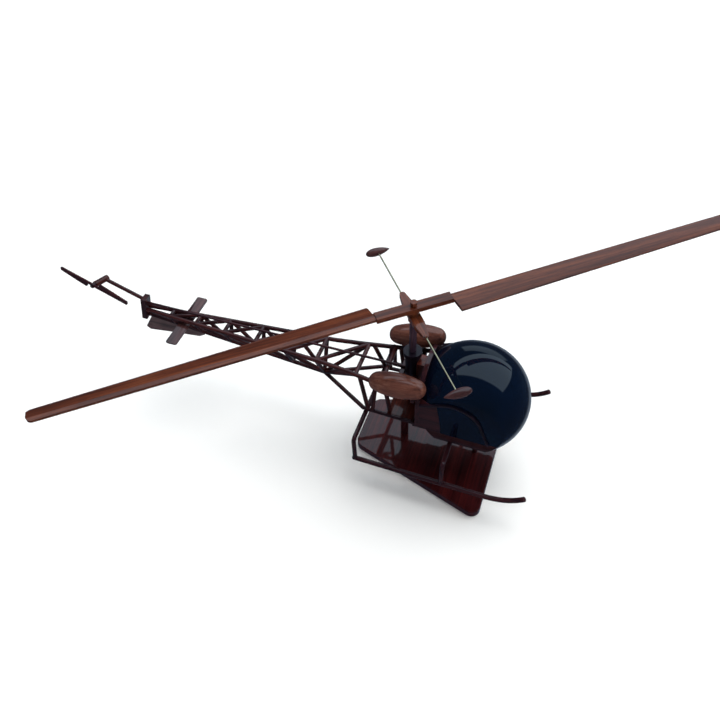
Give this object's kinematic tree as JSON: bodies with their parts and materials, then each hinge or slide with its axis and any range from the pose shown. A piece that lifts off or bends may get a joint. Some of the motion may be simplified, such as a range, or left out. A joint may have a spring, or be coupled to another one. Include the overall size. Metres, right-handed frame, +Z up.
{
  "type": "helicopter scale model",
  "caption": "Desk model of a light helicopter with a round bubble cabin, open truss tail boom, skids, and a two-blade rotor with a weighted stabiliser bar, on a trapezoid stand",
  "frame": {"origin": "on the underside of the display base, straight below the main rotor mast", "axes": "+X towards the nose, +Y to port, +Z up along the mast"},
  "size_m": [0.4715, 0.3006, 0.1466],
  "materials": {
    "mahogany_base": "deep gloss lacquer",
    "mahogany_dark": "gloss lacquer, dark stain",
    "mahogany_body": "gloss lacquer",
    "mahogany_truss": "gloss lacquer, dark stain",
    "mahogany_tail": "gloss lacquer",
    "mahogany_rotor": "gloss lacquer, straight grain",
    "navy_lacquer": "high gloss blue-black lacquer over wood",
    "brass": "polished, pale",
    "brushed_steel": "bright"
  },
  "bodies": {
    "airframe": {"base_plate": "mahogany_base", "stand_posts": "mahogany_dark", "stand_screws": "brushed_steel", "skid_starboard": "mahogany_dark", "skid_port": "mahogany_dark", "cross_tube_front": "mahogany_dark", "cross_tube_rear": "mahogany_dark", "bubble_canopy": "navy_lacquer", "belly_pan": "mahogany_body", "firewall": "mahogany_dark", "door_panel_starboard": "navy_lacquer", "door_panel_port": "navy_lacquer", "door_frame_starboard": "mahogany_dark", "door_frame_port": "mahogany_dark", "quarter_panel_starboard": "mahogany_body", "quarter_panel_port": "mahogany_body", "lower_rail_starboard": "mahogany_dark", "lower_rail_port": "mahogany_dark", "engine_deck": "mahogany_body", "spine_block": "mahogany_body", "mast_boss": "mahogany_dark", "mast_collar": "mahogany_dark", "mast": "mahogany_dark", "mast_beams": "mahogany_dark", "fuel_tank_starboard": "mahogany_body", "fuel_tank_port": "mahogany_body", "tank_cradles": "mahogany_dark", "top_longeron_starboard": "mahogany_truss", "top_longeron_port": "mahogany_truss", "keel_longeron": "mahogany_truss", "boom_posts_starboard": "mahogany_truss", "boom_posts_port": "mahogany_truss", "boom_diagonals_starboard": "mahogany_truss", "boom_diagonals_port": "mahogany_truss", "boom_cross_members": "mahogany_truss", "boom_top_diagonals": "mahogany_truss", "keel_struts": "mahogany_truss", "rear_braces": "mahogany_truss", "middle_braces": "mahogany_truss", "front_braces": "mahogany_truss", "deck_struts": "mahogany_truss", "drive_shaft": "mahogany_dark", "boom_end_block": "mahogany_truss", "ventral_fin": "mahogany_tail", "horizontal_stabiliser": "mahogany_tail", "tail_tube": "mahogany_truss", "tail_gearbox": "mahogany_tail", "tail_rotor_pin": "brushed_steel", "rotor_pin": "brushed_steel", "rotor_cap": "mahogany_rotor"},
    "main_rotor": {"hub_spacers": "mahogany_rotor", "stabiliser_arm": "mahogany_rotor", "rotor_yoke": "mahogany_rotor", "rotor_blades": "mahogany_rotor", "blade_dowels": "mahogany_rotor", "stabiliser_rods": "brass", "stabiliser_weights": "mahogany_rotor"},
    "tail_rotor": {"tail_rotor_hub": "mahogany_tail", "tail_blades": "mahogany_tail"}
  },
  "joints": [
    {"name": "main_rotor_spin", "type": "hinge", "parent": "airframe", "child": "main_rotor", "pos_m": [0, 0, 0.137], "axis": [0, 0, 1], "continuous": true},
    {"name": "tail_rotor_spin", "type": "hinge", "parent": "airframe", "child": "tail_rotor", "pos_m": [-0.25068, -0.01137, 0.10341], "axis": [-0.1582, -0.9556, 0.2487], "continuous": true}
  ]
}
